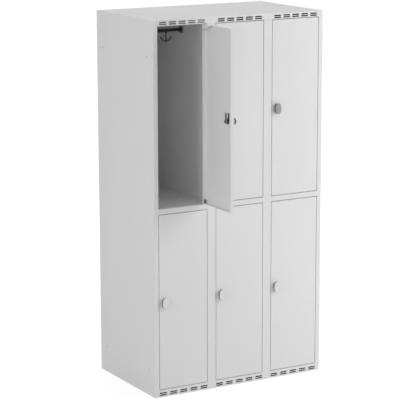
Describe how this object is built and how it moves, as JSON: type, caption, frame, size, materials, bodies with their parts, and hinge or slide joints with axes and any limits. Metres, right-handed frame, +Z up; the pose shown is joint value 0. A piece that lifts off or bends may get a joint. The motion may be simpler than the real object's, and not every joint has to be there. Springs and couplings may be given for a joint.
{
  "type": "double tier locker",
  "caption": "Free-standing sheet steel locker with two tiers of flush hinged doors, turn knobs with latches, slotted rails for air, and a hook rail in each compartment",
  "frame": {"origin": "middle of the carcass footprint, on the ground, on the underside of the floor bearer", "axes": "X to the right seen from the front, Y to the back, Z up; the doors face -Y"},
  "size_m": [0.9, 0.789, 1.74],
  "materials": {
    "carcass_paint": "satin powder coat, light grey",
    "door_paint": "satin powder coat, light grey",
    "lock_steel": "darkened zinc plate",
    "knob_metal": "satin die casting",
    "zinc_plate": "bright zinc plate",
    "rail_black": "moulded black plastic, fine texture",
    "buffer_rubber": "matt black rubber"
  },
  "bodies": {
    "carcass": {"left_side_panel": "carcass_paint", "right_side_panel": "carcass_paint", "side_stiles": "carcass_paint", "left_partition": "carcass_paint", "right_partition": "carcass_paint", "back_panel": "carcass_paint", "roof_panel": "carcass_paint", "floor_panel": "carcass_paint", "floor_bearer": "carcass_paint", "weld_flanges": "carcass_paint", "left_middle_stile": "carcass_paint", "right_middle_stile": "carcass_paint", "top_rail": "carcass_paint", "bottom_rail": "carcass_paint", "mid_rails": "carcass_paint", "left_tier_shelf": "carcass_paint", "centre_tier_shelf": "carcass_paint", "right_tier_shelf": "carcass_paint", "lower_left_hook_rail": "rail_black", "lower_centre_hook_rail": "rail_black", "lower_right_hook_rail": "rail_black", "upper_left_hook_rail": "rail_black", "upper_centre_hook_rail": "rail_black", "upper_right_hook_rail": "rail_black", "stop_lips": "carcass_paint", "coat_hooks": "rail_black", "rail_brackets": "zinc_plate", "pivot_pins": "zinc_plate", "door_buffers": "buffer_rubber"},
    "lower_left_door": {"lower_left_door": "door_paint", "lower_left_hinge_fittings": "door_paint", "lower_left_lock_housing": "lock_steel"},
    "lower_left_lock": {"lower_left_turn_knob": "knob_metal", "lower_left_latch_cam": "lock_steel"},
    "lower_centre_door": {"lower_centre_door": "door_paint", "lower_centre_hinge_fittings": "door_paint", "lower_centre_lock_housing": "lock_steel"},
    "lower_centre_lock": {"lower_centre_turn_knob": "knob_metal", "lower_centre_latch_cam": "lock_steel"},
    "lower_right_door": {"lower_right_door": "door_paint", "lower_right_hinge_fittings": "door_paint", "lower_right_lock_housing": "lock_steel"},
    "lower_right_lock": {"lower_right_turn_knob": "knob_metal", "lower_right_latch_cam": "lock_steel"},
    "upper_left_door": {"upper_left_door": "door_paint", "upper_left_hinge_fittings": "door_paint", "upper_left_lock_housing": "lock_steel"},
    "upper_left_lock": {"upper_left_turn_knob": "knob_metal", "upper_left_latch_cam": "lock_steel"},
    "upper_centre_door": {"upper_centre_door": "door_paint", "upper_centre_hinge_fittings": "door_paint", "upper_centre_lock_housing": "lock_steel"},
    "upper_centre_lock": {"upper_centre_turn_knob": "knob_metal", "upper_centre_latch_cam": "lock_steel"},
    "upper_right_door": {"upper_right_door": "door_paint", "upper_right_hinge_fittings": "door_paint", "upper_right_lock_housing": "lock_steel"},
    "upper_right_lock": {"upper_right_turn_knob": "knob_metal", "upper_right_latch_cam": "lock_steel"}
  },
  "joints": [
    {"name": "lower_left_door_hinge", "type": "hinge", "parent": "carcass", "child": "lower_left_door", "pos_m": [-0.1805, -0.269, 0.448], "axis": [0, 0, 1], "range_deg": [0, 105]},
    {"name": "lower_left_lock_turn", "type": "hinge", "parent": "lower_left_door", "child": "lower_left_lock", "pos_m": [-0.4, -0.275, 0.448], "axis": [0, -1, 0], "range_deg": [0, 180]},
    {"name": "lower_centre_door_hinge", "type": "hinge", "parent": "carcass", "child": "lower_centre_door", "pos_m": [0.1195, -0.269, 0.448], "axis": [0, 0, 1], "range_deg": [0, 105]},
    {"name": "lower_centre_lock_turn", "type": "hinge", "parent": "lower_centre_door", "child": "lower_centre_lock", "pos_m": [-0.1, -0.275, 0.448], "axis": [0, -1, 0], "range_deg": [0, 180]},
    {"name": "lower_right_door_hinge", "type": "hinge", "parent": "carcass", "child": "lower_right_door", "pos_m": [0.4195, -0.269, 0.448], "axis": [0, 0, 1], "range_deg": [0, 105]},
    {"name": "lower_right_lock_turn", "type": "hinge", "parent": "lower_right_door", "child": "lower_right_lock", "pos_m": [0.2, -0.275, 0.448], "axis": [0, -1, 0], "range_deg": [0, 180]},
    {"name": "upper_left_door_hinge", "type": "hinge", "parent": "carcass", "child": "upper_left_door", "pos_m": [-0.1805, -0.269, 1.299], "axis": [0, 0, 1], "range_deg": [-90, 15]},
    {"name": "upper_left_lock_turn", "type": "hinge", "parent": "upper_left_door", "child": "upper_left_lock", "pos_m": [-0.1745, -0.4885, 1.299], "axis": [1, 0, 0], "range_deg": [-90, 90]},
    {"name": "upper_centre_door_hinge", "type": "hinge", "parent": "carcass", "child": "upper_centre_door", "pos_m": [0.1195, -0.269, 1.299], "axis": [0, 0, 1], "range_deg": [0, 105]},
    {"name": "upper_centre_lock_turn", "type": "hinge", "parent": "upper_centre_door", "child": "upper_centre_lock", "pos_m": [-0.1, -0.275, 1.299], "axis": [0, -1, 0], "range_deg": [0, 180]},
    {"name": "upper_right_door_hinge", "type": "hinge", "parent": "carcass", "child": "upper_right_door", "pos_m": [0.4195, -0.269, 1.299], "axis": [0, 0, 1], "range_deg": [0, 105]},
    {"name": "upper_right_lock_turn", "type": "hinge", "parent": "upper_right_door", "child": "upper_right_lock", "pos_m": [0.2, -0.275, 1.299], "axis": [0, -1, 0], "range_deg": [0, 180]}
  ]
}
